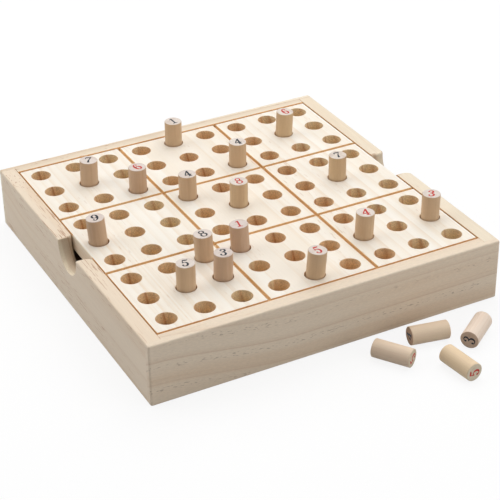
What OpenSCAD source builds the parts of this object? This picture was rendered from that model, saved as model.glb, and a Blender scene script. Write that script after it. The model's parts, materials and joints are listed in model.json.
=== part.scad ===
// Wooden sudoku set: an open pine box, a lift-out board with a grid of blind peg holes,
// and numbered pegs that stand in the board, lie on the table or are kept in the box.
// The origin is the centre of the box's underside. +X is right, +Y is back and +Z is up.

/* [Box] */
// Outer width of the box, left to right
box_w = 241.5; // [210:0.5:320]
// Outer depth of the box, front to back
box_d = 241.5; // [210:0.5:320]
// Outer height of the box
box_h = 41.5; // [36:0.5:60]
// Thickness of the four walls
wall_t = 9.75; // [7:0.25:12]
// Thickness of the front and back walls that is left outside the side walls' ends
corner_lip = 4; // [2.5:0.5:5]
// Rounding of the box's outer edges
edge_r = 1.5; // [0.4:0.1:2]
// Thickness of the base panel
base_t = 4; // [3:0.5:6]
// Width of the ledge under the walls that takes the base panel's edge
base_ledge = 4.5; // [3:0.5:6]
// Gap around the base panel in its ledge
base_gap = 0.25; // [0.1:0.05:0.5]
// Width of the two rails that carry the board
rail_w = 8; // [5:0.5:12]

/* [Finger notches] */
// Radius of the round bottom of the notch in each side wall
notch_r = 14.5; // [10:0.5:18]
// Radius of the rounded corners where the notch meets the rim
notch_flare_r = 2; // [1:0.5:4]

/* [Board] */
// Thickness of the board
board_t = 11; // [9:0.5:15]
// Gap between the board and the walls, on each side
board_gap = 0.75; // [0.4:0.05:1.5]
// Distance from the board's edges to the centres of its outer holes
edge_margin = 11.3; // [9:0.1:16]
// Diameter of the peg holes
hole_d = 12.9; // [10:0.1:15]
// Thickness of the board's lower layer, which closes the holes
hole_floor = 2.7; // [2:0.1:4]
// Width of the grooves between the blocks of cells
groove_w = 2.2; // [1:0.1:3]
// Depth of the grooves between the blocks of cells
groove_depth = 2; // [1:0.1:4]

/* [Pegs] */
// Length of a peg
peg_l = 25; // [20:0.5:30]
// Gap between a peg and the wall of its hole
peg_clearance = 0.55; // [0.4:0.05:0.9]
// Chamfer on the ends of a peg
peg_chamfer = 0.5; // [0.2:0.1:1]
// Gap below a peg that stands in its hole
seat_gap = 0.2; // [0.1:0.05:0.5]
// Gap around each peg that is kept in the box
store_gap = 0.2; // [0.1:0.05:0.5]

/* [Hidden] */
$fn = 64;
// Cells along one side of the grid, and along one side of a block
cells = 9;
block_cells = 3;
// Length by which every cut passes the face that it opens
overrun = 1;

inner_w = box_w - 2 * wall_t;
inner_d = box_d - 2 * wall_t;
side_l = box_d - 2 * corner_lip;
board_w = inner_w - 2 * board_gap;
board_d = inner_d - 2 * board_gap;
board_z = box_h - board_t;
pitch_x = (board_w - 2 * edge_margin) / (cells - 1);
pitch_y = (board_d - 2 * edge_margin) / (cells - 1);
hole_depth = board_t - hole_floor;
peg_d = hole_d - 2 * peg_clearance;
rail_h = board_z - base_t;

// Direction, in plan, in which the pegs with a positive lean tip over
lean_heading = -27.5;
// Pegs in the board: column from the left, row from the front, number, lean in degrees
placed_pegs = [
    [2, 8, 7, 1.5], [3, 7, 6, 0], [5, 9, 1, 0.5], [6, 7, 4, 0.5],
    [4, 6, 4, -0.5], [5, 5, 8, 0], [1, 5, 9, -4], [3, 3, 8, -2.5],
    [4, 3, 1, -2.5], [3, 2, 3, 1], [2, 2, 5, 0], [5, 1, 5, 4],
    [8, 8, 6, 2.5], [8, 5, 7, 0], [7, 2, 4, 2], [9, 2, 3, 1]
];
// Pegs on the table: number, then its middle as shares of a peg's length, to the right of
// the box's middle and in front of the box, and the heading of its axis in degrees
loose_peg_shares = [
    [5, 1.02, 1.13, -56], [4, 2.23, 0.81, -11], [3, 3.32, 1.27, 35.5], [5, 2.19, 2.23, -83]
];
// Names of the loose pegs, in the same order
loose_names = ["loose_peg_5_left", "loose_peg_4", "loose_peg_3", "loose_peg_5_front"];

// Places in the box of the kept pegs of each number, from 1 up: row from the front, side wall
store_places = [[1, -1], [2, -1], [3, -1], [2, 1], [5, -1], [1, 1], [4, -1], [4, 1], [3, 1]];

function peg_name(p) = str("peg_", p[2], "_column_", p[0], "_row_", p[1]);
function store_name(number) = str("stored_pegs_", number);

wall_colour = "#d8bf9c";
inside_colour = "#cdb28c";
board_colour = "#ecdcc0";
peg_colour = "#cfae84";

// Place of a cell's middle on the board's top, along X and along Y
function cell_x(column) = (column - (cells + 1) / 2) * pitch_x;
function cell_y(row) = (row - (cells + 1) / 2) * pitch_y;

// How many pegs of a number the set shows, and how many are left to keep in the box
function shown(number) =
    len([for (p = placed_pegs) if (p[2] == number) p]) +
    len([for (p = loose_peg_shares) if (p[0] == number) p]);
function kept(number) = cells - shown(number);

// Rectangle with rounded corners, centred on the origin
module rounded_rect(w, h, r) {
    square([w - 2 * r, h], center = true);
    square([w, h - 2 * r], center = true);
    for (x = [-1, 1], y = [-1, 1])
        translate([x * (w / 2 - r), y * (h / 2 - r)])
            circle(r);
}

// Outer form of the box as a solid block with all its edges rounded
module box_form() {
    intersection() {
        linear_extrude(box_h)
            rounded_rect(box_w, box_d, edge_r);
        translate([0, 0, box_h / 2])
            rotate([90, 0, 0])
                linear_extrude(box_d, center = true)
                    rounded_rect(box_w, box_h, edge_r);
        translate([0, 0, box_h / 2])
            rotate([90, 0, 90])
                linear_extrude(box_w, center = true)
                    rounded_rect(box_d, box_h, edge_r);
    }
}

// Front wall: full width, with a rebate at each end for the side walls and a ledge below
module end_wall() {
    rebate_x = (box_w - wall_t + overrun) / 2;
    rebate_y = -box_d / 2 + corner_lip + wall_t / 2;
    color(wall_colour)
        intersection() {
            box_form();
            difference() {
                translate([-box_w / 2, -box_d / 2, 0])
                    cube([box_w, wall_t, box_h]);
                for (side = [-1, 1])
                    translate([side * rebate_x, rebate_y, box_h / 2])
                        cube([wall_t + overrun, wall_t, box_h + 2 * overrun], center = true);
                translate([-box_w / 2 - overrun, -box_d / 2 + wall_t - base_ledge, -overrun])
                    cube([box_w + 2 * overrun, base_ledge + overrun, base_t + overrun]);
            }
        }
}

// Outline of a finger notch, with the rim's height at zero
module notch_outline() {
    translate([0, -notch_flare_r])
        circle(notch_r);
    translate([-notch_r, -notch_flare_r])
        square([2 * notch_r, notch_flare_r + overrun]);
    for (side = [-1, 1])
        translate([side * (notch_r + notch_flare_r), -notch_flare_r])
            difference() {
                translate([-(side + 1) / 2 * notch_flare_r, 0])
                    square([notch_flare_r, notch_flare_r + overrun]);
                circle(notch_flare_r);
            }
}

// Left wall: between the end walls' lips, with a finger notch in its rim and a ledge below
module side_wall() {
    color(wall_colour)
        intersection() {
            box_form();
            difference() {
                translate([-box_w / 2, -side_l / 2, 0])
                    cube([wall_t, side_l, box_h]);
                translate([-box_w / 2 + wall_t - base_ledge, -box_d / 2, -overrun])
                    cube([base_ledge + overrun, box_d, base_t + overrun]);
                translate([-box_w / 2 - overrun, 0, box_h])
                    rotate([90, 0, 90])
                        linear_extrude(wall_t + 2 * overrun)
                            notch_outline();
            }
        }
}

module front_wall() {
    end_wall();
}

module back_wall() {
    mirror([0, 1, 0])
        end_wall();
}

module left_wall() {
    side_wall();
}

module right_wall() {
    mirror([1, 0, 0])
        side_wall();
}

// Base panel, let into the walls' ledges from below and flush with their undersides
module base_panel() {
    panel_w = inner_w + 2 * (base_ledge - base_gap);
    panel_d = inner_d + 2 * (base_ledge - base_gap);
    color(inside_colour)
        translate([-panel_w / 2, -panel_d / 2, 0])
            cube([panel_w, panel_d, base_t]);
}

// Rail against the inside of the front wall, from the base up to the board
module end_rail() {
    color(inside_colour)
        translate([-inner_w / 2, -inner_d / 2, base_t])
            cube([inner_w, rail_w, rail_h]);
}

module front_rail() {
    end_rail();
}

module back_rail() {
    mirror([0, 1, 0])
        end_rail();
}

// Lower layer of the board, which closes its holes from below
module board_floor() {
    color(board_colour)
        translate([-board_w / 2, -board_d / 2, board_z])
            cube([board_w, board_d, hole_floor]);
}

// Upper layer of the board, with a hole in every cell and a groove between neighbouring blocks
module peg_board() {
    color(board_colour)
        difference() {
            translate([-board_w / 2, -board_d / 2, board_z + hole_floor])
                cube([board_w, board_d, hole_depth]);
            for (column = [1 : cells], row = [1 : cells])
                translate([cell_x(column), cell_y(row), board_z + hole_floor - overrun])
                    cylinder(d = hole_d, h = hole_depth + 2 * overrun);
            for (line = [block_cells : block_cells : cells - block_cells]) {
                groove_x = (cell_x(line) + cell_x(line + 1)) / 2;
                groove_y = (cell_y(line) + cell_y(line + 1)) / 2;
                translate([groove_x - groove_w / 2, -board_d / 2 - overrun, box_h - groove_depth])
                    cube([groove_w, board_d + 2 * overrun, groove_depth + overrun]);
                translate([-board_w / 2 - overrun, groove_y - groove_w / 2, box_h - groove_depth])
                    cube([board_w + 2 * overrun, groove_w, groove_depth + overrun]);
            }
        }
}

// One peg, standing on the origin
module peg() {
    r = peg_d / 2;
    c = peg_chamfer;
    color(peg_colour)
        rotate_extrude()
            polygon([[0, 0], [r - c, 0], [r, c], [r, peg_l - c], [r - c, peg_l], [0, peg_l]]);
}

// Peg in its hole, tipped about the middle of the hole and lifted until its lower edge is clear
module placed_peg(p) {
    lean = p[3];
    reach = (hole_depth / 2 - seat_gap - peg_d / 2 * sin(abs(lean))) / cos(lean);
    translate([cell_x(p[0]), cell_y(p[1]), box_h - hole_depth / 2])
        rotate([0, 0, lean_heading])
            rotate([0, lean, 0])
                translate([0, 0, -reach])
                    peg();
}

// Peg lying on the table in front of the box
module loose_peg(p) {
    translate([p[1] * peg_l, -box_d / 2 - p[2] * peg_l, peg_d / 2])
        rotate([0, 90, p[3]])
            translate([0, 0, -peg_l / 2])
                peg();
}

// All the kept pegs of one number, lying side by side in their row, from a side wall inwards
module stored_pegs(number) {
    row = store_places[number - 1][0];
    side = store_places[number - 1][1];
    first_x = inner_w / 2 - store_gap - peg_d / 2;
    for (i = [0 : kept(number) - 1])
        translate([
            side * (first_x - i * (peg_d + store_gap)),
            -inner_d / 2 + rail_w + row * (peg_l + store_gap),
            base_t + store_gap + peg_d / 2
        ])
            rotate([90, 0, 0])
                peg();
}

front_wall();
back_wall();
left_wall();
right_wall();
base_panel();
front_rail();
back_rail();
board_floor();
peg_board();
for (p = placed_pegs)
    placed_peg(p);
for (i = [0 : len(loose_names) - 1])
    loose_peg(loose_peg_shares[i]);
for (number = [1 : cells])
    stored_pegs(number);
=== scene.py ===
import json
import math
import random

import bpy
from mathutils import Matrix, Vector


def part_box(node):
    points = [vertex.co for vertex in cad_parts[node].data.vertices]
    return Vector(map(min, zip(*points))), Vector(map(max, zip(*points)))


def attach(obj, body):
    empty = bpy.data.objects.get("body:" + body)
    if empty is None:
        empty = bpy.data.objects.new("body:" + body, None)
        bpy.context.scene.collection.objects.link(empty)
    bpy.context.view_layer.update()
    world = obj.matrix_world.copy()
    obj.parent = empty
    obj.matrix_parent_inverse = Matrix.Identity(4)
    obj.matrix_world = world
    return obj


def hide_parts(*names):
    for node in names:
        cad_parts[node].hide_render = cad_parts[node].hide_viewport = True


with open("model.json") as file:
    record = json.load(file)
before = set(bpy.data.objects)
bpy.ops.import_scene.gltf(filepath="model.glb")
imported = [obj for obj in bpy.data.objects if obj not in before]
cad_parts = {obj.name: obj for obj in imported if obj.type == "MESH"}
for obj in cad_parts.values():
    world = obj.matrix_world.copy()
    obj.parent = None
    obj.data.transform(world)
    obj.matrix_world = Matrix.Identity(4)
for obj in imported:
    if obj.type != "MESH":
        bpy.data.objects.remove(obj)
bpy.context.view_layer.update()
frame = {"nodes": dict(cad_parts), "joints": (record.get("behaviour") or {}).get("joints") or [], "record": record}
print("frame:", len(frame["nodes"]), "nodes")

mm = 0.001
scene = bpy.context.scene
scene.view_settings.view_transform = "Standard"

# sizes that the frame gives
frontLow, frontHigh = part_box("front_wall")
leftLow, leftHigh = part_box("left_wall")
baseLow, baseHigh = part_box("base_panel")
drillLow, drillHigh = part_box("peg_board")
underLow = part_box("board_floor")[0]
dowelLow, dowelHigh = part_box("stored_pegs_1")
bores = {m["name"]: m for m in frame["record"]["mounts"] if m["kind"] == "bore"}
pullAxis = {j["child"]: Vector(j["axis"]) for j in frame["joints"]}

cells = 9
blockCells = 3
firstHole = Vector(bores["hole_column_1_row_1"]["pos_m"])
lastHole = Vector(bores["hole_column_9_row_9"]["pos_m"])
pitch = (lastHole.x - firstHole.x) / (cells - 1)
holeRadius = bores["hole_column_1_row_1"]["dims"]["r_mm"] * mm
pegLength = dowelHigh.y - dowelLow.y
pegRadius = (dowelHigh.z - dowelLow.z) / 2
rimHeight = frontHigh.z


def cellSpot(column, row):
    return firstHole.x + (column - 1) * pitch, firstHole.y + (row - 1) * pitch


def tint(red, green, blue):  # a colour as seen on screen, 0 to 255, to the socket's linear values
    def linear(value):
        share = value / 255
        return share / 12.92 if share <= 0.04045 else ((share + 0.055) / 1.055) ** 2.4
    return (linear(red), linear(green), linear(blue), 1.0)


# meshes and modifiers

def meshPiece(name, verts, faces, slots=None):
    mesh = bpy.data.meshes.new(name)
    mesh.from_pydata(verts, [], faces)
    if slots:
        mesh.polygons.foreach_set("material_index", slots)
    piece = bpy.data.objects.new(name, mesh)
    scene.collection.objects.link(piece)
    return piece


def loftFaces(rings, sides, start=0):  # closed skin over rings of points, each anticlockwise from above
    faces = [[start + i for i in range(sides)][::-1]]
    for ring in range(rings - 1):
        a = start + ring * sides
        for i in range(sides):
            j = (i + 1) % sides
            faces.append([a + i, a + j, a + sides + j, a + sides + i])
    faces.append([start + (rings - 1) * sides + i for i in range(sides)])
    return faces


def circlePoints(x, y, z, radius, sides):
    turns = [2 * math.pi * i / sides for i in range(sides)]
    return [(x + radius * math.cos(t), y + radius * math.sin(t), z) for t in turns]


def arcPoints(centre, radius, start, end, steps):
    points = []
    for step in range(steps + 1):
        angle = math.radians(start + (end - start) * step / steps)
        points.append((centre[0] + radius * math.cos(angle), centre[1] + radius * math.sin(angle)))
    return points


def prismPiece(name, outline, place, length):  # outline in the place's XY plane, going up its Z
    verts = [place @ Vector((x, y, z)) for z in (0, length) for x, y in outline]
    return meshPiece(name, verts, loftFaces(2, len(outline)))


def blockPiece(name, low, high):
    outline = [(low[0], low[1]), (high[0], low[1]), (high[0], high[1]), (low[0], high[1])]
    return prismPiece(name, outline, Matrix.Translation((0, 0, low[2])), high[2] - low[2])


def bakeModifiers(piece):
    graph = bpy.context.evaluated_depsgraph_get()
    finished = bpy.data.meshes.new_from_object(piece.evaluated_get(graph))
    rough = piece.data
    piece.modifiers.clear()
    piece.data = finished
    bpy.data.meshes.remove(rough)


def roundEdges(piece, width, segments, angle=40):
    bevel = piece.modifiers.new("roundEdges", "BEVEL")
    bevel.width = width
    bevel.segments = segments
    bevel.limit_method = "ANGLE"
    bevel.angle_limit = math.radians(angle)
    bakeModifiers(piece)


def combine(piece, tool, operation="DIFFERENCE"):
    boolean = piece.modifiers.new("combine", "BOOLEAN")
    boolean.object = tool
    boolean.operation = operation
    boolean.solver = "EXACT"
    bakeModifiers(piece)
    bpy.data.objects.remove(tool)


def weldPoints(piece, reach=0.01 * mm):  # joins points that a cut has left on top of each other
    weld = piece.modifiers.new("weldPoints", "WELD")
    weld.merge_threshold = reach
    bakeModifiers(piece)


def smoothFaces(piece, angle=35):
    for face in piece.data.polygons:
        face.use_smooth = True
    piece.data.set_sharp_from_angle(angle=math.radians(angle))
    level = piece.modifiers.new("levelFaces", "WEIGHTED_NORMAL")
    level.keep_sharp = True
    bakeModifiers(piece)


def paintPiece(piece, materials, slot=None):  # keeps each face's slot, or sets them all to one
    count = len(piece.data.polygons)
    slots = [face.material_index for face in piece.data.polygons] if slot is None else [slot] * count
    piece.data.materials.clear()
    for material in materials:
        piece.data.materials.append(material)
    piece.data.polygons.foreach_set("material_index", slots)
    return piece


def joinFrame(piece, body, slot, *nodes):
    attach(piece, body)
    if nodes:
        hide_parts(*nodes)


# wood and ink

class Shading:
    def __init__(self, name):
        self.material = bpy.data.materials.new(name)
        self.material.use_nodes = True
        self.tree = self.material.node_tree
        self.tree.nodes.clear()

    def add(self, kind, inputs, **settings):
        node = self.tree.nodes.new("ShaderNode" + kind)
        for key, value in settings.items():
            setattr(node, key, value)
        for key, value in inputs.items():
            if isinstance(value, bpy.types.NodeSocket):
                self.tree.links.new(value, node.inputs[key])
            else:
                node.inputs[key].default_value = value
        return node

    def math(self, operation, first, second=0.0):
        return self.add("Math", {0: first, 1: second}, operation=operation).outputs[0]

    def vector(self, operation, first, second):
        return self.add("VectorMath", {0: first, 1: second}, operation=operation).outputs[0]

    def noise(self, where, scale, detail=2.0, roughness=0.5, output="Fac"):
        inputs = {"Vector": where, "Scale": scale, "Detail": detail, "Roughness": roughness}
        return self.add("TexNoise", inputs, noise_dimensions="3D").outputs[output]

    # noise that is drawn out along the grain
    def drawn(self, where, stretch, scale, detail=2.0, roughness=0.5, output="Fac"):
        longer = self.vector("MULTIPLY", where, (1.0, 1.0, stretch))
        return self.noise(longer, scale, detail, roughness, output)

    def dice(self, number):
        return self.add("TexWhiteNoise", {"W": number}, noise_dimensions="1D").outputs

    def spread(self, value, fromLow, fromHigh, toLow=0.0, toHigh=1.0):
        limits = {"From Min": fromLow, "From Max": fromHigh, "To Min": toLow, "To Max": toHigh}
        inputs = {"Value": value, **limits}
        return self.add("MapRange", inputs, interpolation_type="SMOOTHSTEP").outputs[0]

    def blend(self, factor, share, first, second):  # 6, 7 and output 2 are the Mix node's colours
        amount = self.math("MULTIPLY", factor, share)
        return self.add("Mix", {0: amount, 6: first, 7: second}, data_type="RGBA").outputs[2]

    def darken(self, colour, shade):
        tone = self.add("CombineColor", {0: shade, 1: shade, 2: shade}).outputs[0]
        mix = {0: 1.0, 6: colour, 7: tone}
        return self.add("Mix", mix, data_type="RGBA", blend_type="MULTIPLY").outputs[2]

    def ramp(self, value, stops):
        node = self.add("ValToRGB", {0: value})
        ends = node.color_ramp.elements
        while len(ends) < len(stops):
            ends.new(0.5)
        for end, (position, level) in zip(ends, stops):
            end.position = position
            end.color = (level, level, level, 1.0)
        return node.outputs[0]

    def finish(self, colour, roughness, height, depth, gloss, strength=0.6):
        bump = self.add("Bump", {"Height": height, "Distance": depth, "Strength": strength})
        surface = self.add("BsdfPrincipled", {
            "Base Color": colour,
            "Roughness": roughness,
            "Normal": bump.outputs[0],
            "Specular IOR Level": gloss,
        })
        self.add("OutputMaterial", {"Surface": surface.outputs[0]})
        return self.material


pegs = {
    "endRound": 0.5 * mm,
    "roundSteps": 4,
    "endRings": 2,  # of the rounding's steps, those that show end grain
    "sides": 64,
    "smoothAngle": 50,
    "storeGap": 0.2 * mm,
    "heartReach": 0.04,
    "heartNear": 0.3,  # as a share of the reach
    "trees": 20,
    "tones": 10,  # from pink to yellow
    "seed": 9,
}
grainRule = {  # what all woods share: how far each noise is drawn out, and from where to where it shows
    "swayStretch": 0.06,
    "faintYear": 0.35,
    "bandStretch": 0.03,
    "bandEnds": (0.46, 0.70),
    "lineStretch": 0.010,
    "lineEnds": (0.56, 0.74),
    "flockStretch": 0.12,
    "flockSoft": 0.12,
    "markSoft": 0.06,
    "seasonEnds": (0.15, 0.06),
    "fibreEnds": (0.25, 0.75),
    "crossEnds": (0.5, 1.0),
    "roughEnds": (0.2, 0.8),
    "roughSpread": (-0.06, 0.1),
    "ringHeight": 0.4,
}
noiseMiddle = (0.5, 0.5, 0.5)


def woodMaterial(name, look):
    sheet = Shading(name)
    if look["coords"] == "object":
        where = sheet.add("TexCoord", {}).outputs["Object"]
    else:
        where = sheet.add("Attribute", {}, attribute_name=look["coords"]).outputs["Vector"]
    parts = sheet.add("SeparateXYZ", {0: where}).outputs
    order = {"X": (1, 2, 0), "Y": (0, 2, 1), "Z": (0, 1, 2)}[look["grain"]]
    across, through, along = (parts[i] for i in order)
    rise = through
    if look["bend"]:  # the log curves towards one end of the board
        rise = sheet.math("ADD", through, sheet.spread(along, *look["bend"]))
    log = sheet.add("CombineXYZ", {0: across, 1: rise, 2: along}).outputs[0]

    # each glued strip, or each peg, is from another tree
    tree = None
    if look["strip"]:
        shifted = sheet.math("ADD", across, look["stripShift"])
        tree = sheet.dice(sheet.math("FLOOR", sheet.math("DIVIDE", shifted, look["strip"])))
        mixed = sheet.vector("SUBTRACT", tree["Color"], noiseMiddle)
        log = sheet.vector("ADD", log, sheet.vector("MULTIPLY", mixed, look["stripSpread"]))
    elif look["coords"] != "object":
        number = sheet.math("FLOOR", sheet.math("ADD", along, 0.5))
        tree = {"Value": sheet.math("FRACT", sheet.math("DIVIDE", number, pegs["tones"]))}
    log = sheet.vector("ADD", log, look["heart"])

    # growth rings round the heart of the log
    sway = sheet.drawn(log, grainRule["swayStretch"], look["swayScale"], output="Color")
    sway = sheet.vector("SUBTRACT", sway, noiseMiddle)
    sway = sheet.vector("MULTIPLY", sway, (look["sway"], look["sway"], 0.0))
    bent = sheet.vector("ADD", sheet.vector("MULTIPLY", log, (1.0, 1.0, look["taper"])), sway)
    radius = sheet.add("VectorMath", {0: bent}, operation="LENGTH").outputs["Value"]
    rings = sheet.math("DIVIDE", radius, look["ring"])
    year = sheet.dice(sheet.math("FLOOR", rings))["Value"]
    season = sheet.math("FRACT", rings)
    late = sheet.ramp(season, look["ringRamp"])
    late = sheet.math("MULTIPLY", late, sheet.spread(year, 0.0, 1.0, grainRule["faintYear"], 1.0))

    # soft bands, fine lines, short resin marks and fibres, all along the grain
    band = sheet.drawn(log, grainRule["bandStretch"], look["bandScale"])
    band = sheet.spread(band, *grainRule["bandEnds"])
    line = sheet.drawn(log, grainRule["lineStretch"], look["lineScale"], roughness=0.6)
    line = sheet.spread(line, *grainRule["lineEnds"])
    mark = sheet.drawn(log, look["markStretch"], look["markScale"], detail=1.0)
    flock = sheet.drawn(log, grainRule["flockStretch"], look["flockScale"])
    flock = sheet.spread(flock, look["flockFrom"], look["flockFrom"] + grainRule["flockSoft"])
    if look["markGather"]:
        reach, heights, more = look["markGather"]
        near = sheet.spread(sheet.math("ABSOLUTE", along), *reach)
        near = sheet.math("MULTIPLY", near, sheet.spread(through, *heights))
        mark = sheet.math("ADD", mark, sheet.math("MULTIPLY", near, more))
        flock = sheet.math("MAXIMUM", flock, near)
    mark = sheet.spread(mark, look["markFrom"], look["markFrom"] + grainRule["markSoft"])
    mark = sheet.math("MULTIPLY", mark, flock)
    if look["markHeights"]:
        mark = sheet.math("MULTIPLY", mark, sheet.spread(through, *look["markHeights"]))
    if look["markSeason"]:
        apart = sheet.math("ABSOLUTE", sheet.math("SUBTRACT", season, look["markSeason"]))
        mark = sheet.math("MULTIPLY", mark, sheet.spread(apart, *grainRule["seasonEnds"]))
    fibre = sheet.drawn(log, look["fibreStretch"], look["fibreScale"], detail=3.0, roughness=0.6)

    colour = look["pale"]
    if tree:
        colour = sheet.blend(tree["Value"], 1.0, look["pale"], look["otherPale"])
    colour = sheet.blend(band, look["bandShare"], colour, look["bandColour"])
    colour = sheet.blend(late, look["ringShare"], colour, look["ringColour"])
    colour = sheet.blend(line, look["lineShare"], colour, look["lineColour"])
    colour = sheet.blend(mark, look["markShare"], colour, look["markColour"])
    fibreShade = sheet.spread(fibre, *grainRule["fibreEnds"], 1.0 - look["fibreShare"], 1.0)
    colour = sheet.darken(colour, fibreShade)
    if look["endShade"]:  # end grain is darker; the notch sets this high enough that it also paints shade on its steep upper flank
        normal = sheet.add("TexCoord", {}).outputs["Normal"]
        facing = sheet.math("ABSOLUTE", sheet.add("SeparateXYZ", {0: normal}).outputs[order[2]])
        cross = sheet.spread(facing, *grainRule["crossEnds"], 1.0, 1.0 - look["endShade"])
        colour = sheet.darken(colour, cross)
    if look["openReach"]:  # paler where the notches leave the edge open, so the painted bounce light of the gap stops there
        shut = sheet.spread(sheet.math("ABSOLUTE", along), *look["openReach"])
        colour = sheet.blend(shut, 1.0, look["openColour"], colour)
    roughLimits = [look["rough"] + change for change in grainRule["roughSpread"]]
    roughness = sheet.spread(fibre, *grainRule["roughEnds"], *roughLimits)
    raised = sheet.math("MULTIPLY", late, grainRule["ringHeight"])
    height = sheet.math("SUBTRACT", sheet.math("ADD", fibre, raised), mark)
    return sheet.finish(colour, roughness, height, look["bump"], look["gloss"])


wallLook = {  # broad growth rings, one above the other in the height of the wall
    "coords": "object",
    "grain": "X",
    "heart": (0.0, 0.17, 0.4),
    "strip": 0.0,
    "ring": 12.5 * mm,
    "ringRamp": [(0.0, 0.25), (0.08, 0.0), (0.72, 0.0), (0.93, 0.55), (0.985, 1.0), (1.0, 0.25)],
    "taper": 0.02,
    "bend": None,  # along the grain from and to, and how far the rings rise there
    "sway": 9 * mm,
    "swayScale": 14.0,
    "bandScale": 75.0,
    "lineScale": 420.0,
    "markScale": 900.0,
    "markStretch": 0.14,
    "markFrom": 0.66,
    "markHeights": None,  # from none to all
    "markGather": None,  # reach along the grain, heights and how many more
    "markSeason": None,  # the share of a year's growth that holds the marks
    "flockScale": 45.0,
    "flockFrom": 0.50,
    "fibreScale": 1500.0,
    "fibreStretch": 0.05,
    "pale": tint(242, 224, 201),
    "bandColour": tint(232, 206, 177),
    "ringColour": tint(200, 160, 124),
    "lineColour": tint(224, 194, 162),
    "markColour": tint(172, 122, 84),
    "bandShare": 0.55,
    "ringShare": 0.55,
    "lineShare": 0.35,
    "markShare": 0.6,
    "fibreShare": 0.06,
    "endShade": 0.0,
    "openReach": None,
    "rough": 0.55,
    "gloss": 0.3,
    "bump": 0.08 * mm,
}
wallPine = {
    "front_wall": woodMaterial("frontPine", {
        **wallLook,
        "heart": (0.010, -0.2032, 0.4),
        "ring": 13.5 * mm,
        "ringRamp": [(0.0, 0.25), (0.04, 0.0), (0.75, 0.0), (0.94, 0.4), (0.985, 1.0), (1.0, 0.25)],
        "bend": (-125 * mm, -20 * mm, -11.6 * mm, 0.0),
        "sway": 4 * mm,
        "ringShare": 0.45,
        "markScale": 1300.0,
        "markStretch": 0.2,
        "markFrom": 0.61,
        "markHeights": (rimHeight - 1 * mm, rimHeight - 3 * mm),
        "markSeason": 0.25,
        "flockFrom": 0.32,
        "markShare": 0.5,
        "markColour": tint(140, 108, 84),
        "fibreStretch": 0.25,
        "fibreShare": 0.10,
    }),
    "back_wall": woodMaterial("backPine", {
        **wallLook,
        "heart": (-0.020, 0.160, 1.3),
        "pale": tint(243, 230, 208),
        "bandColour": tint(234, 212, 185),
    }),
    "left_wall": woodMaterial("leftPine", {
        **wallLook,
        "grain": "Y",
        "heart": (0.060, 0.1482, 2.1),
        "ring": 15 * mm,
        "bend": (70 * mm, 125 * mm, 0.0, -6.5 * mm),
        "sway": 4 * mm,
        "ringShare": 0.32,
        "markScale": 1500.0,
        "markStretch": 0.05,
        "markFrom": 0.635,
        "markGather": ((70 * mm, 25 * mm), (rimHeight - 1 * mm, rimHeight - 0.3 * mm), 0.045),
        "flockFrom": 0.44,
        "markColour": tint(180, 130, 92),
        "markShare": 0.7,
    }),
    "right_wall": woodMaterial("rightPine", {
        **wallLook,
        "grain": "Y",
        "heart": (-0.030, 0.180, 3.2),
        "bend": (-110 * mm, 100 * mm, 0.0, -6 * mm),
        "pale": tint(242, 228, 205),
        "bandColour": tint(233, 212, 183),
    }),
}

boardLook = {  # glued strips, two holes wide
    **wallLook,
    "grain": "Y",
    "heart": (0.0, 0.045, 0.6),
    "strip": 2 * pitch,
    "stripShift": 5 * pitch,
    "stripSpread": (0.05, 0.05, 1.0),
    "ring": 4.5 * mm,
    "ringRamp": [(0.0, 0.3), (0.12, 0.0), (0.45, 0.1), (0.88, 0.8), (0.96, 1.0), (1.0, 0.3)],
    "sway": 5 * mm,
    "swayScale": 20.0,
    "pale": tint(252, 246, 235),
    "otherPale": tint(250, 241, 227),
    "bandColour": tint(247, 234, 214),
    "ringColour": tint(234, 209, 176),
    "lineColour": tint(239, 218, 189),
    "markColour": tint(196, 152, 108),
    "bandShare": 0.5,
    "ringShare": 0.5,
    "lineShare": 0.4,
    "markShare": 0.3,
    "fibreShare": 0.03,
}
boardPine = woodMaterial("boardPine", boardLook)
hollowShadeLook = {  # the same rings on rougher cut wood, tinted warmer and darker as painted bounce light and shade of narrow hollows
    **boardLook,
    "lineColour": tint(240, 200, 156),
    "ringShare": 0.6,
    "fibreScale": 1300.0,
    "fibreStretch": 0.9,
    "rough": 0.75,
    "bump": 0.25 * mm,
}
holeShadePine = woodMaterial("holeShadePine", {  # the rings stand upright in the holes; painted bounce light and shade of the holes
    **hollowShadeLook,
    "heart": (0.22, 0.0, 0.6),
    "ring": 6.5 * mm,
    "ringRamp": [(0.0, 0.5), (0.1, 0.0), (0.5, 0.0), (0.75, 0.3), (0.88, 1.0), (0.96, 1.0), (1.0, 0.5)],
    "pale": tint(255, 234, 196),
    "otherPale": tint(255, 220, 176),
    "bandColour": tint(255, 220, 176),
    "ringColour": tint(198, 134, 90),
    "ringShare": 0.65,
    "fibreShare": 0.38,
})
# painted bounce light and shade of the grooves
grooveShadePine = woodMaterial("grooveShadePine", {
    **hollowShadeLook,
    "pale": tint(252, 220, 172),
    "otherPale": tint(250, 214, 164),
    "bandColour": tint(244, 202, 148),
    "ringColour": tint(232, 184, 130),
    "fibreShare": 0.2,
})
# painted bounce light of the narrow gap between wall and board: orange-brown on the rounded edges beside the gap
gapBouncePine = woodMaterial("gapBouncePine", {
    **hollowShadeLook,
    "pale": tint(238, 184, 126),
    "otherPale": tint(234, 177, 118),
    "bandColour": tint(226, 166, 108),
    "ringColour": tint(206, 146, 90),
    "fibreShare": 0.2,
    "openReach": (14 * mm, 17 * mm),
    "openColour": tint(242, 226, 202),
})
# a darker copy of the board's wood for its side faces: partly the sawn face, partly painted shade of the narrow
# gap and the notch
sidePine = woodMaterial("sidePine", {
    **boardLook,
    "pale": tint(239, 222, 199),
    "otherPale": tint(233, 214, 189),
    "bandColour": tint(227, 206, 179),
    "ringColour": tint(209, 180, 149),
    "lineColour": tint(217, 192, 163),
    "rough": 0.7,
})
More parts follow.
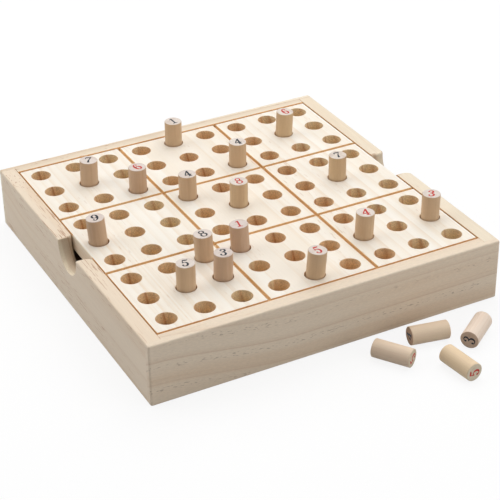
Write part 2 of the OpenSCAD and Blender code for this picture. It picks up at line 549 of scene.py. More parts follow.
# painted light and shade in the notch: paler wood paints the light on its lower face, a broad dark ring band on
# its inner side paints the shade the board casts, and the end grain darkening is raised to paint shade on the
# steep upper flank
notchLightShadePine = woodMaterial("notchLightShadePine", {
    **wallLook,
    "grain": "Y",
    "heart": (0.2053, -0.030, 4.0),
    "ring": 9.4 * mm,
    "ringRamp": [(0.0, 0.8), (0.1, 0.3), (0.25, 0.0), (0.58, 0.0), (0.66, 0.8), (0.94, 1.0), (1.0, 0.8)],
    "sway": 3 * mm,
    "swayScale": 60.0,
    "pale": tint(255, 240, 214),
    "bandColour": tint(252, 228, 196),
    "ringColour": tint(184, 140, 102),
    "markFrom": 1.0,
    "ringShare": 1.0,
    "fibreScale": 2200.0,
    "fibreStretch": 0.5,
    "fibreShare": 0.1,
    "endShade": 0.2,
    "rough": 0.7,
})
insidePine = woodMaterial("insidePine", {
    **wallLook,
    "heart": (0.02, 0.09, 5.0),
    "ring": 4 * mm,
    "pale": tint(238, 202, 156),
    "bandColour": tint(226, 184, 134),
    "ringColour": tint(200, 150, 100),
    "lineColour": tint(214, 168, 118),
})
basePly = woodMaterial("basePly", {
    **wallLook,
    "grain": "Y",
    "heart": (0.012, 0.014, 7.0),
    "ring": 5.2 * mm,
    "sway": 30 * mm,
    "swayScale": 9.0,
    "pale": tint(228, 205, 172),
    "ringColour": tint(196, 156, 112),
})
dowelLook = {
    **wallLook,
    "coords": "grain",
    "grain": "Z",
    "heart": (0.0, 0.0, 0.0),
    "ring": 2.2 * mm,
    "ringRamp": boardLook["ringRamp"],
    "sway": 1.5 * mm,
    "swayScale": 60.0,
    "bandScale": 260.0,
    "lineScale": 1200.0,
    "markScale": 1500.0,
    "flockScale": 160.0,
    "fibreScale": 2600.0,
}
dowelSide = woodMaterial("dowelSide", {
    **dowelLook,
    "pale": tint(206, 174, 147),
    "otherPale": tint(219, 189, 148),
    "bandColour": tint(194, 158, 124),
    "ringColour": tint(180, 140, 104),
    "lineColour": tint(190, 152, 116),
    "bandShare": 0.5,
    "ringShare": 0.12,
    "lineShare": 0.08,
    "markShare": 0.2,
    "rough": 0.5,
})
endLook = {
    **dowelLook,
    "fibreStretch": 0.2,
    "pale": tint(230, 216, 208),
    "otherPale": tint(240, 231, 220),
    "bandColour": tint(216, 198, 185),
    "ringColour": tint(198, 172, 152),
    "lineColour": tint(208, 187, 171),
    "ringShare": 0.3,
    "markShare": 0.2,
    "fibreShare": 0.12,
    "rough": 0.75,
    "gloss": 0.2,
}
dowelEnd = woodMaterial("dowelEnd", endLook)
creamEnd = woodMaterial("creamEnd", {
    **endLook,
    "pale": tint(240, 228, 206),
    "otherPale": tint(234, 218, 190),
    "bandColour": tint(222, 204, 176),
    "ringColour": tint(206, 182, 150),
})
# loose pegs: their own pink or yellow tone, made much paler as painted bounce light from the floor they lie on
litPinkLook = {
    **dowelLook,
    "pale": tint(249, 230, 212),
    "otherPale": tint(240, 216, 186),
    "bandColour": tint(238, 210, 184),
    "ringColour": tint(226, 190, 156),
    "lineColour": tint(230, 196, 164),
    "ringShare": 0.25,
    "lineShare": 0.3,
    "markShare": 0.2,
    "rough": 0.5,
}
litPinkSide = woodMaterial("litPinkSide", litPinkLook)
litYellowSide = woodMaterial("litYellowSide", {
    **litPinkLook,
    "pale": tint(244, 219, 184),
    "otherPale": tint(240, 213, 175),
})
# darker ends for the loose pegs whose ends face away from the lamps: painted shade on the end grain
shadedBrownEnd = woodMaterial("shadedBrownEnd", {
    **endLook,
    "pale": tint(218, 193, 172),
    "otherPale": tint(204, 175, 152),
    "bandColour": tint(196, 166, 142),
    "ringColour": tint(172, 140, 116),
    "lineColour": tint(186, 156, 132),
})


inkLook = {
    "cloudScale": 900.0,
    "cloudEnds": (0.35, 0.7),
    "speckScale": 4000.0,
    "speckEnds": (0.3, 0.7),
    "rough": (0.45, 0.65),
    "bump": 0.02 * mm,
    "gloss": 0.3,
}


def inkMaterial(name, pale, dark):
    sheet = Shading(name)
    where = sheet.add("TexCoord", {}).outputs["Object"]
    cloud = sheet.noise(where, inkLook["cloudScale"], detail=3.0, roughness=0.6)
    cloud = sheet.spread(cloud, *inkLook["cloudEnds"])
    speck = sheet.noise(where, inkLook["speckScale"], detail=1.0)
    roughness = sheet.spread(speck, *inkLook["speckEnds"], *inkLook["rough"])
    colour = sheet.blend(cloud, 1.0, dark, pale)
    return sheet.finish(colour, roughness, speck, inkLook["bump"], inkLook["gloss"])


inks = {
    "black": inkMaterial("blackInk", tint(46, 52, 62), tint(26, 30, 40)),
    "red": inkMaterial("redInk", tint(212, 66, 54), tint(188, 40, 36)),
}
print("materials:", len(bpy.data.materials))

# box walls

walls = {
    "cornerEdge": 1.4 * mm,
    "cornerSteps": 6,
    "rimEdge": 1.0 * mm,
    "rimSegments": 4,
    "rimAngle": 60,
    "softEdge": 0.3 * mm,
    "softSegments": 2,
    "softAngle": 50,
    "innerEdge": 0.7 * mm,
    "innerSegments": 3,
    "jointGap": {"front_wall": 0.15 * mm, "back_wall": 0.35 * mm},
    "notch": {  # half width to the front and to the back, depth and flare of the rim, at -X and at +X
        "left_wall": [
            (14.5 * mm, 14.5 * mm, 14.5 * mm, 0.8 * mm),
            (17.0 * mm, 17.0 * mm, 18.5 * mm, 1.9 * mm),
        ],
        "right_wall": [
            (15.3 * mm, 15.3 * mm, 14.5 * mm, 1.9 * mm),
            (20.3 * mm, 17.3 * mm, 17.0 * mm, 1.95 * mm),
        ],
    },
    "notchDrop": 2.0 * mm,  # from the rim to the middle of the notch's arc
    "notchSoft": 5.0 * mm,
    "notchSteps": 8,
    "arcSteps": 48,
    "flareSteps": 8,
    "baseGap": 0.25 * mm,
    "innerFace": 0.95,  # how straight a face looks inwards
    "near": 0.01 * mm,
    "overrun": 4.0 * mm,
}
wallOutside, wallInside, wallNotch, wallGapBounce = range(4)  # in the order of wallMaterials
over = walls["overrun"]
outerHigh = Vector((frontHigh.x, -frontLow.y, frontHigh.z))
ledge = baseLow - Vector((walls["baseGap"], walls["baseGap"], 0))


def boxForm():  # the whole box as one rounded block, which each wall is cut from
    r = walls["cornerEdge"]
    outline = []
    for turn, (sideX, sideY) in enumerate(((1, 1), (-1, 1), (-1, -1), (1, -1))):
        centre = (sideX * (outerHigh.x - r), sideY * (outerHigh.y - r))
        outline += arcPoints(centre, r, 90 * turn, 90 * turn + 90, walls["cornerSteps"])
    form = prismPiece("boxForm", outline, Matrix.Translation((0, 0, frontLow.z)), rimHeight - frontLow.z)
    roundEdges(form, walls["rimEdge"], walls["rimSegments"], walls["rimAngle"])
    return form


def notchOutline(front, back, depth, flare):
    outline = [(-front - flare, over)]
    outline += arcPoints((-front - flare, -flare), flare, 90, 0, walls["flareSteps"])
    for y, z in arcPoints((0.0, 0.0), 1.0, 180, 360, walls["arcSteps"]):
        outline.append((y * (front if y < 0 else back), z * depth - walls["notchDrop"]))
    outline += arcPoints((back + flare, -flare), flare, 180, 90, walls["flareSteps"])
    return outline + [(back + flare, over)]


def notchCutter(node, low, high):  # sharp towards -X, rounded towards +X
    soft, steps = walls["notchSoft"], walls["notchSteps"]
    sharp, grown = walls["notch"][node]
    sections = [(low.x - over, notchOutline(*sharp))]
    for step in range(steps + 1):
        turn = math.pi / 2 * step / steps
        shares = [1 - math.cos(turn)] * 3 + [step / steps]
        sizes = [a + (b - a) * share for a, b, share in zip(sharp, grown, shares)]
        sections.append((high.x - soft + soft * math.sin(turn), notchOutline(*sizes)))
    sections.append((high.x + over, notchOutline(*grown)))
    verts = [(x, y, rimHeight + z) for x, outline in sections for y, z in outline]
    return meshPiece("notchCutter", verts, loftFaces(len(sections), len(sections[0][1])))


def wallMaterials(node):
    return [wallPine[node], insidePine, notchLightShadePine, gapBouncePine]


def softenInnerEdge(wall, inward):  # the upper edge that faces the board, rounded and painted with the painted bounce light of the gap
    near = walls["near"]
    reach = max(v.co.dot(inward) for v in wall.data.vertices) - near
    upper = [v.co.z > rimHeight - near and v.co.dot(inward) > reach for v in wall.data.vertices]
    chosen = [float(all(upper[i] for i in edge.vertices)) for edge in wall.data.edges]
    weights = wall.data.attributes.new("bevel_weight_edge", "FLOAT", "EDGE")
    weights.data.foreach_set("value", chosen)
    bevel = wall.modifiers.new("softenInnerEdge", "BEVEL")
    bevel.limit_method = "WEIGHT"
    bevel.width = walls["innerEdge"]
    bevel.segments = walls["innerSegments"]
    bevel.material = wallGapBounce
    bakeModifiers(wall)


def finishWall(wall, node, inward):
    combine(wall, paintPiece(boxForm(), wallMaterials(node), wallOutside), "INTERSECT")
    softenInnerEdge(wall, inward)
    roundEdges(wall, walls["softEdge"], walls["softSegments"], walls["softAngle"])
    weldPoints(wall)
    smoothFaces(wall)
    for face in wall.data.polygons:
        if face.material_index == wallOutside and face.normal.dot(inward) > walls["innerFace"]:
            face.material_index = wallInside
    joinFrame(paintPiece(wall, wallMaterials(node)), "box", "box_wood", node)


def endWall(node, side):
    low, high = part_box(node)
    wall = paintPiece(blockPiece(node + "_pine", low, high), wallMaterials(node), wallOutside)
    for end in (-1, 1):
        corners = sorted([end * (-leftHigh.x - walls["jointGap"][node]), end * (-leftLow.x + over)])
        depth = sorted([side * -leftLow.y, side * (-frontHigh.y - over)])
        rebateLow = (corners[0], depth[0], -over)
        rebateHigh = (corners[1], depth[1], rimHeight + over)
        combine(wall, blockPiece("rebate", rebateLow, rebateHigh))
    depth = sorted([side * -ledge.y, side * (-frontHigh.y - over)])
    combine(wall, blockPiece("ledge", (low.x - over, depth[0], -over), (high.x + over, depth[1], baseHigh.z)))
    finishWall(wall, node, Vector((0, -side, 0)))


def sideWall(node, side):
    low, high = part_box(node)
    wall = paintPiece(blockPiece(node + "_pine", low, high), wallMaterials(node), wallOutside)
    depth = sorted([side * -ledge.x, side * (-leftHigh.x - over)])
    combine(wall, blockPiece("ledge", (depth[0], low.y - over, -over), (depth[1], high.y + over, baseHigh.z)))
    combine(wall, paintPiece(notchCutter(node, low, high), wallMaterials(node), wallNotch))
    finishWall(wall, node, Vector((-side, 0, 0)))


endWall("front_wall", -1)
endWall("back_wall", 1)
sideWall("left_wall", -1)
sideWall("right_wall", 1)
print("walls built")

# base panel and rails

inside = {"edge": 0.4 * mm, "segments": 3}
for node, material in (("base_panel", basePly), ("front_rail", insidePine), ("back_rail", insidePine)):
    strip = blockPiece(node + "_sanded", *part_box(node))
    roundEdges(strip, inside["edge"], inside["segments"])
    smoothFaces(strip)
    joinFrame(paintPiece(strip, [material]), "box", "inside_wood", node)
print("base and rails built")

# board with its holes and grooves

board = {
    "edge": 0.8 * mm,
    "edgeSegments": 3,
    "rim": 0.2 * mm,
    "rimSteps": 3,
    "holeSides": 64,
    "grooveWidth": 2.2 * mm,
    "grooveDepth": 2.0 * mm,
    "above": 2.0 * mm,
    "sideFace": 0.1,  # how straight up a face of the side or of the top looks
    "topFace": 0.95,
}
boardMaterials = [boardPine, holeShadePine, grooveShadePine, gapBouncePine, sidePine]
boardTop, boardHole, boardGroove, boardGapBounce, boardSide = range(len(boardMaterials))


def holesCutter():
    top, rim, sides = drillHigh.z, board["rim"], board["holeSides"]
    curve = arcPoints((holeRadius + rim, top - rim), rim, 180, 90, board["rimSteps"])
    profile = [(holeRadius, drillLow.z), *curve, (holeRadius + rim, top + board["above"])]
    verts, faces = [], []
    for column in range(1, cells + 1):
        for row in range(1, cells + 1):
            x, y = cellSpot(column, row)
            faces += loftFaces(len(profile), sides, len(verts))
            for radius, z in profile:
                verts += circlePoints(x, y, z, radius, sides)
    return paintPiece(meshPiece("holes", verts, faces), boardMaterials, boardHole)


def grooveCutter(place, length):
    half, depth, rim = board["grooveWidth"] / 2, board["grooveDepth"], board["rim"]
    outline = [(-half, -depth), (half, -depth)]
    outline += arcPoints((half + rim, -rim), rim, 180, 90, board["rimSteps"])
    outline += [(half + rim, board["above"]), (-half - rim, board["above"])]
    outline += arcPoints((-half - rim, -rim), rim, 90, 0, board["rimSteps"])
    return paintPiece(prismPiece("groove", outline, place, length), boardMaterials, boardGroove)


def makeBoard():
    piece = blockPiece("peg_board_pine", underLow, drillHigh)
    paintPiece(piece, boardMaterials, boardTop)
    roundEdges(piece, board["edge"], board["edgeSegments"])
    combine(piece, holesCutter())
    length = drillHigh.y - drillLow.y + 2 * over
    alongY = Matrix(((1, 0, 0, 0), (0, 0, -1, 0), (0, 1, 0, 0), (0, 0, 0, 1)))
    alongX = Matrix(((0, 0, 1, 0), (1, 0, 0, 0), (0, 1, 0, 0), (0, 0, 0, 1)))
    for line in range(blockCells, cells, blockCells):
        x = (cellSpot(line, 1)[0] + cellSpot(line + 1, 1)[0]) / 2
        y = (cellSpot(1, line)[1] + cellSpot(1, line + 1)[1]) / 2
        combine(piece, grooveCutter(Matrix.Translation((x, length / 2, drillHigh.z)) @ alongY, length))
        combine(piece, grooveCutter(Matrix.Translation((-length / 2, y, drillHigh.z)) @ alongX, length))
    smoothFaces(piece)
    for face in piece.data.polygons:
        if face.material_index != boardTop:
            continue
        if board["sideFace"] < face.normal.z < board["topFace"]:  # the rounded upper edge, painted with the painted bounce light of the gap
            face.material_index = boardGapBounce
        elif abs(face.normal.z) <= board["sideFace"]:
            face.material_index = boardSide
    joinFrame(paintPiece(piece, boardMaterials), "board", "board_wood", "peg_board", "board_floor")


makeBoard()
print("board built")

# numbers, drawn with a broad pen: x, y and pen width in shares of the number's height

numberPen = {
    1: {
        "lines": [
            [(0.30, 0.03, 0.12), (0.30, 0.5, 0.12), (0.30, 0.98, 0.12)],
            [(0.32, 0.96, 0.06), (0.20, 0.87, 0.07), (0.09, 0.83, 0.04)],
            [(0.08, 0.025, 0.05), (0.30, 0.03, 0.05), (0.52, 0.025, 0.05)],
        ],
        "dots": [],
    },
    2: {
        "lines": [
            [(0.10, 0.74, 0.05), (0.14, 0.90, 0.05), (0.30, 0.97, 0.06), (0.46, 0.90, 0.12),
             (0.50, 0.74, 0.14), (0.42, 0.56, 0.11), (0.24, 0.33, 0.06), (0.08, 0.08, 0.05)],
            [(0.04, 0.05, 0.06), (0.16, 0.09, 0.10), (0.30, 0.08, 0.12), (0.44, 0.07, 0.10),
             (0.56, 0.13, 0.05)],
        ],
        "dots": [(0.14, 0.73, 0.085)],
    },
    3: {
        "lines": [
            [(0.10, 0.80, 0.05), (0.16, 0.92, 0.05), (0.30, 0.97, 0.06), (0.44, 0.91, 0.12),
             (0.48, 0.77, 0.135), (0.41, 0.62, 0.10), (0.27, 0.545, 0.05), (0.20, 0.54, 0.05)],
            [(0.20, 0.54, 0.05), (0.38, 0.50, 0.08), (0.50, 0.38, 0.14), (0.52, 0.24, 0.145),
             (0.45, 0.09, 0.11), (0.29, 0.03, 0.055), (0.14, 0.08, 0.05), (0.09, 0.18, 0.05)],
        ],
        "dots": [(0.13, 0.79, 0.085), (0.13, 0.19, 0.085)],
    },
    4: {
        "lines": [
            [(0.42, 0.03, 0.14), (0.42, 0.5, 0.14), (0.42, 0.98, 0.14)],
            [(0.42, 0.95, 0.09), (0.22, 0.62, 0.085), (0.03, 0.28, 0.085)],
            [(0.01, 0.27, 0.09), (0.30, 0.27, 0.09), (0.62, 0.27, 0.09)],
            [(0.25, 0.025, 0.05), (0.42, 0.03, 0.05), (0.59, 0.025, 0.05)],
        ],
        "dots": [],
    },
    5: {
        "lines": [
            [(0.11, 0.93, 0.08), (0.26, 0.91, 0.14), (0.41, 0.93, 0.11), (0.52, 0.98, 0.04)],
            [(0.12, 0.95, 0.055), (0.11, 0.75, 0.055), (0.10, 0.49, 0.055)],
            [(0.10, 0.49, 0.05), (0.18, 0.58, 0.055), (0.30, 0.61, 0.06), (0.45, 0.54, 0.12),
             (0.53, 0.34, 0.15), (0.47, 0.13, 0.125), (0.30, 0.03, 0.055), (0.15, 0.08, 0.05),
             (0.10, 0.17, 0.05)],
        ],
        "dots": [(0.14, 0.18, 0.085)],
    },
    6: {
        "lines": [
            [(0.48, 0.84, 0.05), (0.42, 0.94, 0.05), (0.33, 0.97, 0.055), (0.20, 0.88, 0.10),
             (0.11, 0.66, 0.145), (0.09, 0.40, 0.155), (0.14, 0.15, 0.12), (0.30, 0.03, 0.055),
             (0.46, 0.12, 0.12), (0.52, 0.30, 0.15), (0.46, 0.49, 0.12), (0.32, 0.57, 0.055),
             (0.19, 0.51, 0.05), (0.11, 0.40, 0.05)],
        ],
        "dots": [(0.46, 0.82, 0.08)],
    },
    7: {
        "lines": [
            [(0.07, 0.90, 0.08), (0.20, 0.93, 0.13), (0.36, 0.91, 0.13), (0.50, 0.94, 0.08),
             (0.56, 0.98, 0.04)],
            [(0.06, 0.70, 0.035), (0.065, 0.82, 0.05), (0.09, 0.94, 0.06)],
            [(0.55, 0.96, 0.05), (0.44, 0.74, 0.06), (0.33, 0.50, 0.09), (0.27, 0.26, 0.14),
             (0.25, 0.03, 0.17)],
        ],
        "dots": [],
    },
    8: {  # each ring's middle, half width, half height and pen width
        "lines": [],
        "dots": [],
        "rings": [(0.32, 0.755, 0.19, 0.20, 0.10), (0.32, 0.28, 0.235, 0.25, 0.12)],
    },
}
numberPrint = {
    "height": 7.4 * mm,
    "weight": 1.2,  # pen width against the shares above
    "proud": 0.05 * mm,
    "sunk": 0.05 * mm,
    "steps": 6,
    "thinPen": 0.065,
    "dotSides": 24,
    "ringSides": 48,
    "swell": 1.5,  # how the pen of a ring widens to its sides
}


def smoothLine(points):  # a Catmull-Rom curve, with the pen width as a third axis
    line = []
    ends = [points[0], *points, points[-1]]
    for a, b, c, d in zip(ends, ends[1:], ends[2:], ends[3:]):
        for step in range(numberPrint["steps"]):
            t = step / numberPrint["steps"]
            line.append([
                0.5 * (2 * b[k] + (c[k] - a[k]) * t + (2 * a[k] - 5 * b[k] + 4 * c[k] - d[k]) * t * t
                       + (3 * b[k] - a[k] - 3 * c[k] + d[k]) * t ** 3)
                for k in range(3)
            ])
    return line + [list(points[-1])]


def penSides(line):
    left, right = [], []
    for i, (x, y, width) in enumerate(line):
        before, after = line[max(i - 1, 0)], line[min(i + 1, len(line) - 1)]
        ahead = Vector((after[0] - before[0], after[1] - before[1])).normalized()
        half = max(width, numberPrint["thinPen"]) * numberPrint["weight"] / 2
        left.append((x - ahead.y * half, y + ahead.x * half))
        right.append((x + ahead.y * half, y - ahead.x * half))
    return left, right


def inkStrip(left, right, closed):
    low, high = -numberPrint["sunk"], numberPrint["proud"]
    scale = numberPrint["height"]
    count = len(left)
    verts = [(x * scale, y * scale, z) for z in (low, high) for side in (left, right) for x, y in side]
    lowLeft, lowRight, topLeft, topRight = (k * count for k in range(4))
    faces = []
    for i in range(count if closed else count - 1):
        j = (i + 1) % count
        faces.append([topLeft + i, topRight + i, topRight + j, topLeft + j])
        faces.append([lowLeft + j, lowRight + j, lowRight + i, lowLeft + i])
        faces.append([lowLeft + i, topLeft + i, topLeft + j, lowLeft + j])
        faces.append([lowRight + j, topRight + j, topRight + i, lowRight + i])
    if not closed:
        last = count - 1
        faces.append([lowLeft, lowRight, topRight, topLeft])
        faces.append([lowRight + last, lowLeft + last, topLeft + last, topRight + last])
    return meshPiece("inkStrip", verts, faces)


def inkDot(x, y, radius):
    scale = numberPrint["height"]
    around = arcPoints((x, y), radius, 0, 360, numberPrint["dotSides"])[:-1]
    outline = [(px * scale, py * scale) for px, py in around]
    place = Matrix.Translation((0, 0, -numberPrint["sunk"]))
    return prismPiece("inkDot", outline, place, numberPrint["sunk"] + numberPrint["proud"])


def inkRing(x, y, halfWidth, halfHeight, pen):
    left, right = [], []
    thin, sides = numberPrint["thinPen"], numberPrint["ringSides"]
    for step in range(sides):
        angle = 2 * math.pi * step / sides
        side, up = math.cos(angle), math.sin(angle)
        half = (thin + (pen - thin) * abs(side) ** numberPrint["swell"]) * numberPrint["weight"] / 2
        left.append((x + (halfWidth - half) * side, y + (halfHeight - half) * up))
        right.append((x + (halfWidth + half) * side, y + (halfHeight + half) * up))
    return inkStrip(left, right, True)


def numberShape(number):
    pen = numberPen[6 if number == 9 else number]  # 9 is 6 turned over
    solids = [inkStrip(*penSides(smoothLine(line)), False) for line in pen["lines"]]
    solids += [inkDot(*dot) for dot in pen["dots"]]
    solids += [inkRing(*ring) for ring in pen.get("rings", [])]
    whole = solids[0]
    for solid in solids[1:]:
        combine(whole, solid, "UNION")
    weldPoints(whole)
    corners = [v.co for v in whole.data.vertices]
    middle = Vector((
        (min(c.x for c in corners) + max(c.x for c in corners)) / 2,
        (min(c.y for c in corners) + max(c.y for c in corners)) / 2,
        0,
    ))
    turn = Matrix.Rotation(math.pi if number == 9 else 0, 4, "Z")
    verts = [turn @ (c - middle) for c in corners]
    faces = [list(face.vertices) for face in whole.data.polygons]
    bpy.data.objects.remove(whole)
    return verts, faces


numbers = {number: numberShape(number) for number in range(1, cells + 1)}
print("numbers drawn")

# pegs

placedPegs = {  # ink, turn of the upper number and tone of the wood
    "peg_7_column_2_row_8": ("black", -20, 3),
    "peg_6_column_3_row_7": ("red", 18, 2),
    "peg_1_column_5_row_9": ("black", 3, 6),
    "peg_4_column_6_row_7": ("black", -7, 6),
    "peg_4_column_4_row_6": ("black", -2, 5),
    "peg_8_column_5_row_5": ("red", -4, 8),
    "peg_9_column_1_row_5": ("black", -9, 2),
    "peg_8_column_3_row_3": ("black", 5, 4),
    "peg_1_column_4_row_3": ("red", -10, 0),
    "peg_3_column_3_row_2": ("black", -22, 1),
    "peg_5_column_2_row_2": ("black", -22, 5),
    "peg_5_column_5_row_1": ("red", -3, 6),
    "peg_6_column_8_row_8": ("red", 4, 9),
    "peg_7_column_8_row_5": ("black", -7, 9),
    "peg_4_column_7_row_2": ("red", -13, 6),
    "peg_3_column_9_row_2": ("red", -34, 5),
}
loosePegs = {  # heading of the end that shows, its ink, its turn, its tone and its woods
    "loose_peg_5_left": (-56, "red", 110, 7, [litPinkSide, creamEnd]),
    "loose_peg_4": (169, "black", 105, 9, [litPinkSide, shadedBrownEnd]),
    "loose_peg_3": (215.5, "black", 80, 0, [litPinkSide, shadedBrownEnd]),
    "loose_peg_5_front": (-83, "red", 80, 5, [litYellowSide, creamEnd]),
}
otherInk = {"black": "red", "red": "black"}
sideSlot, endSlot = range(2)  # the two woods of a dowel


def nodeMiddle(node, digits=6):  # points that lie together count once
    spots = {tuple(round(c, digits) for c in v.co) for v in frame["nodes"][node].data.vertices}
    return sum((Vector(spot) for spot in spots), Vector()) / len(spots)


def dowelProfile():  # radius and height, from the middle of the lower end to the upper end
    side, half, soft = pegRadius - pegs["endRound"], pegLength / 2 - pegs["endRound"], pegs["endRound"]
    lower = arcPoints((side, -half), soft, -90, 0, pegs["roundSteps"])
    upper = arcPoints((side, half), soft, 0, 90, pegs["roundSteps"])
    return lower + upper


def makeDowels(node, places, tones, body, materials):
    profile, sides = dowelProfile(), pegs["sides"]
    verts, faces, grain = [], [], []
    for place, tone in zip(places, tones):
        away = dice.uniform(0, 2 * math.pi)
        far = dice.uniform(pegs["heartNear"], 1.0) * pegs["heartReach"]
        tree = dice.randrange(pegs["trees"]) * pegs["tones"] + tone
        heart = Vector((far * math.cos(away), far * math.sin(away), tree))
        faces += loftFaces(len(profile), sides, len(verts))
        for radius, z in profile:
            ring = [Vector(spot) for spot in circlePoints(0, 0, z, radius, sides)]
            verts += [place @ spot for spot in ring]
            grain += [spot + heart for spot in ring]
    rings, slots = len(profile) - 1, [endSlot]
    for ring in range(rings):
        atEnd = min(ring, rings - 1 - ring) < pegs["endRings"]
        slots += [endSlot if atEnd else sideSlot] * sides
    slots.append(endSlot)
    piece = meshPiece(node + "_dowel", verts, faces, slots * len(places))
    layer = piece.data.attributes.new("grain", "FLOAT_VECTOR", "POINT")
    layer.data.foreach_set("vector", [c for spot in grain for c in spot])
    smoothFaces(piece, pegs["smoothAngle"])
    joinFrame(paintPiece(piece, materials), body, "peg_wood", node)


def printNumbers(node, number, prints, body):
    verts, faces, slots = [], [], []
    shapeVerts, shapeFaces = numbers[number]
    for place, ink in prints:
        start = len(verts)
        verts += [place @ v for v in shapeVerts]
        faces += [[start + i for i in face] for face in shapeFaces]
        slots += [list(inks).index(ink)] * len(shapeFaces)
    piece = meshPiece(node + "_numbers", verts, faces, slots)
    joinFrame(paintPiece(piece, inks.values()), body, "peg_wood")


def endPrints(place, ink, turn, otherTurn):
    raised = Matrix.Translation((0, 0, pegLength / 2))
    spin = Matrix.Rotation(math.radians(turn), 4, "Z")
    flip = Matrix.Rotation(math.pi, 4, "Y")
    otherSpin = Matrix.Rotation(math.radians(otherTurn), 4, "Z")
    return [(place @ raised @ spin, ink), (place @ flip @ raised @ otherSpin, otherInk[ink])]


def lyingPlace(middle, heading):
    ahead = Vector((math.cos(math.radians(heading)), math.sin(math.radians(heading)), 0))
    up = Vector((0, 0, 1))
    turned = Matrix((up.cross(ahead), up, ahead)).transposed().to_4x4()
    return Matrix.Translation(middle) @ turned


dice = random.Random(pegs["seed"])
for node, (ink, turn, tone) in placedPegs.items():
    lean = Vector((0, 0, 1)).rotation_difference(pullAxis[node]).to_matrix().to_4x4()
    place = Matrix.Translation(nodeMiddle(node)) @ lean
    makeDowels(node, [place], [tone], node, [dowelSide, dowelEnd])
    printNumbers(node, int(node.split("_")[1]), endPrints(place, ink, turn, dice.uniform(0, 360)), node)

for node, (heading, ink, turn, tone, woods) in loosePegs.items():
    place = lyingPlace(nodeMiddle(node), heading)
    makeDowels(node, [place], [tone], node, woods)
    printNumbers(node, int(node.split("_")[2]), endPrints(place, ink, turn, dice.uniform(0, 360)), node)

for number in range(1, cells + 1):
    node = f"stored_pegs_{number}"
    low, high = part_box(node)
    count = round((high.x - low.x + pegs["storeGap"]) / (2 * pegRadius + pegs["storeGap"]))
    places, prints = [], []
    for i in range(count):
        share = i / (count - 1)
        x = low.x + pegRadius + share * (high.x - low.x - 2 * pegRadius)
        middle = Vector((x, (low.y + high.y) / 2, (low.z + high.z) / 2))
        place = lyingPlace(middle, dice.choice((-90, 90)))
        places.append(place)
        prints += endPrints(place, dice.choice(list(inks)), dice.uniform(0, 360), dice.uniform(0, 360))
    tones = [dice.randrange(pegs["tones"]) for place in places]
    makeDowels(node, places, tones, "box", [dowelSide, dowelEnd])
    printNumbers(node, number, prints, "box")
print("pegs built")

# floor, light and camera

studio = {
    "floorSize": 6.0,
    "floorDepth": 0.02,
    "floorShade": 0.45,
    "floorGlow": 0.86,
    "worldLight": 0.24,
    "lamps": {
        "keyLamp": {"spot": (0.42, 0.50, 1.15), "size": 1.7, "power": 14.2},
        "leftLamp": {"spot": (-1.10, 0.64, 0.75), "size": 1.5, "power": 8.2},
        "rightLamp": {"spot": (0.75, -1.10, 0.70), "size": 1.5, "power": 7.3},
    },
}
whiteLight = (1.0, 1.0, 1.0, 1.0)


def makeFloor():
    half = studio["floorSize"] / 2
    floor = blockPiece("floor", (-half, -half, -studio["floorDepth"]), (half, half, 0.0))
    sheet = Shading("floorPaper")
    path = sheet.add("LightPath", {}).outputs
    seen = sheet.math("MAXIMUM", path["Is Glossy Ray"], path["Is Transmission Ray"])
    seen = sheet.math("MAXIMUM", path["Is Camera Ray"], seen)
    shade = studio["floorShade"]
    paper = sheet.add("BsdfDiffuse", {"Color": (shade, shade, shade, 1.0)}).outputs[0]
    white = sheet.add("BsdfDiffuse", {"Color": whiteLight}).outputs[0]
    glow = sheet.add("Emission", {"Color": whiteLight, "Strength": 1.0}).outputs[0]
    shown = sheet.add("MixShader", {0: studio["floorGlow"], 1: white, 2: glow}).outputs[0]
    surface = sheet.add("MixShader", {0: seen, 1: paper, 2: shown}).outputs[0]
    sheet.add("OutputMaterial", {"Surface": surface})
    paintPiece(floor, [sheet.material])


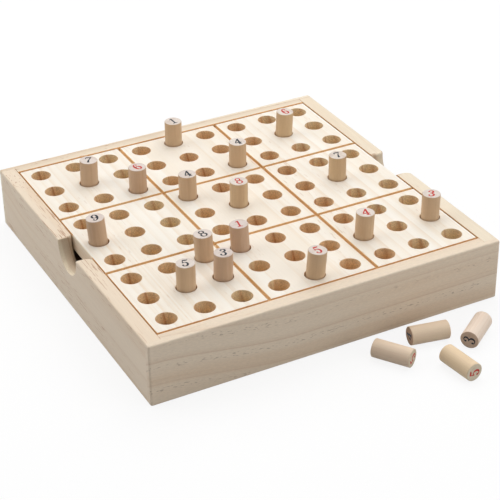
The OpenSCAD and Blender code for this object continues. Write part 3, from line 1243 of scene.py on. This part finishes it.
def makeWorld():
    world = bpy.data.worlds.new("studioWorld")
    world.use_nodes = True
    tree = world.node_tree
    tree.nodes.clear()
    path = tree.nodes.new("ShaderNodeLightPath")
    dim = tree.nodes.new("ShaderNodeBackground")
    dim.inputs["Strength"].default_value = studio["worldLight"]
    dim.inputs["Color"].default_value = whiteLight
    white = tree.nodes.new("ShaderNodeBackground")
    white.inputs["Color"].default_value = whiteLight
    mix = tree.nodes.new("ShaderNodeMixShader")
    output = tree.nodes.new("ShaderNodeOutputWorld")
    tree.links.new(path.outputs["Is Camera Ray"], mix.inputs[0])
    tree.links.new(dim.outputs[0], mix.inputs[1])
    tree.links.new(white.outputs[0], mix.inputs[2])
    tree.links.new(mix.outputs[0], output.inputs["Surface"])
    scene.world = world


def softLamp(name, spot, size, power):
    lamp = bpy.data.lights.new(name, "AREA")
    lamp.shape = "DISK"
    lamp.size = size
    lamp.energy = power
    holder = bpy.data.objects.new(name, lamp)
    holder.location = spot
    holder.rotation_euler = (-Vector(spot)).to_track_quat("-Z", "Y").to_euler()
    scene.collection.objects.link(holder)


view = {  # the photo's camera, with its turns in degrees
    "spot": (-0.4010, -0.7849, 0.5397),
    "heading": 27.50,
    "down": 31.19,
    "roll": -0.784,
    "lens": 111.9,
    "sensor": 36.0,
    "farthest": 20.0,
}


def makeCamera():
    heading, down, roll = (math.radians(view[key]) for key in ("heading", "down", "roll"))
    ahead = Vector((math.sin(heading) * math.cos(down), math.cos(heading) * math.cos(down), -math.sin(down)))
    right = ahead.cross(Vector((0, 0, 1))).normalized()
    up = right.cross(ahead)
    turnedRight = right * math.cos(roll) + up * math.sin(roll)
    turnedUp = up * math.cos(roll) - right * math.sin(roll)
    turned = Matrix((turnedRight, turnedUp, -ahead)).transposed().to_4x4()
    camera = bpy.data.cameras.new("camera")
    camera.lens = view["lens"]
    camera.sensor_width = view["sensor"]
    camera.clip_end = view["farthest"]
    holder = bpy.data.objects.new("camera", camera)
    holder.matrix_world = Matrix.Translation(view["spot"]) @ turned
    scene.collection.objects.link(holder)
    scene.camera = holder


makeFloor()
makeWorld()
for name, lamp in studio["lamps"].items():
    softLamp(name, lamp["spot"], lamp["size"], lamp["power"])
makeCamera()
print("studio ready")
